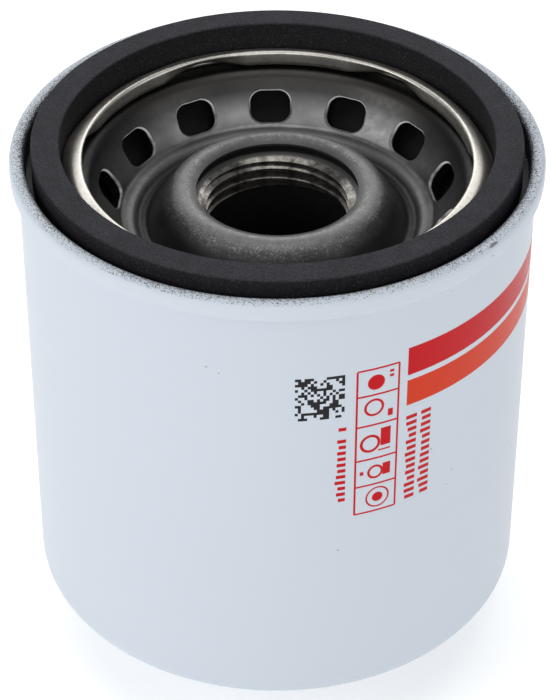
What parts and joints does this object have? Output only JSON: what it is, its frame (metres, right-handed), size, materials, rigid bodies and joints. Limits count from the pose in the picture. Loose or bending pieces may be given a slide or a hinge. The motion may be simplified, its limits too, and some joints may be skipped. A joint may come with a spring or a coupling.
{
  "type": "oil filter",
  "caption": "Spin-on oil filter with a painted can, rolled seam, sealing ring, ported base plate with a centre thread, and a wrench nut on the closed end.",
  "frame": {"origin": "centre of the wrench nut's end face, on the filter's axis; the filter stands on this face with its mounting end up", "axes": "+Z along the axis from the closed end to the sealing face and thread; +X through two flats of the nut"},
  "size_m": [0.068, 0.068, 0.0765],
  "materials": {
    "can_paint": "gloss",
    "lid_steel": "satin",
    "plate_steel": "satin",
    "gasket_rubber": "matte",
    "valve_rubber": "matte",
    "compound": "matte",
    "tinned_steel": "satin",
    "potting": "satin",
    "filter_paper": "matte",
    "spring_steel": "satin"
  },
  "bodies": {
    "housing": {"can_shell": "can_paint", "wrench_nut": "can_paint", "nut_weld_beads": "can_paint", "seaming_lid": "lid_steel", "base_plate": "plate_steel", "gasket": "gasket_rubber", "seam_compound": "compound", "drainback_valve_collar": "valve_rubber", "upper_end_cap": "tinned_steel", "lower_end_cap": "tinned_steel", "centre_tube": "tinned_steel", "media_seam_clip": "tinned_steel", "bypass_cage": "tinned_steel", "upper_potting": "potting", "lower_potting": "potting", "filter_media": "filter_paper", "bypass_spring": "spring_steel", "element_spring": "spring_steel"},
    "bypass_poppet": {"bypass_poppet": "spring_steel", "bypass_seal": "valve_rubber"},
    "drainback_skirt": {"drainback_valve_skirt": "valve_rubber"}
  },
  "joints": [
    {"name": "bypass_lift", "type": "slide", "parent": "housing", "child": "bypass_poppet", "axis": [0, 0, 1], "range_m": [0, 0.003], "stiffness_N_per_m": 1390, "springref_m": -0.0065, "deforming": ["bypass_spring"]},
    {"name": "drainback_lift", "type": "slide", "parent": "housing", "child": "drainback_skirt", "axis": [0, 0, -1], "range_m": [0, 0.0015], "stiffness_N_per_m": 400, "springref_m": -0.0005}
  ]
}
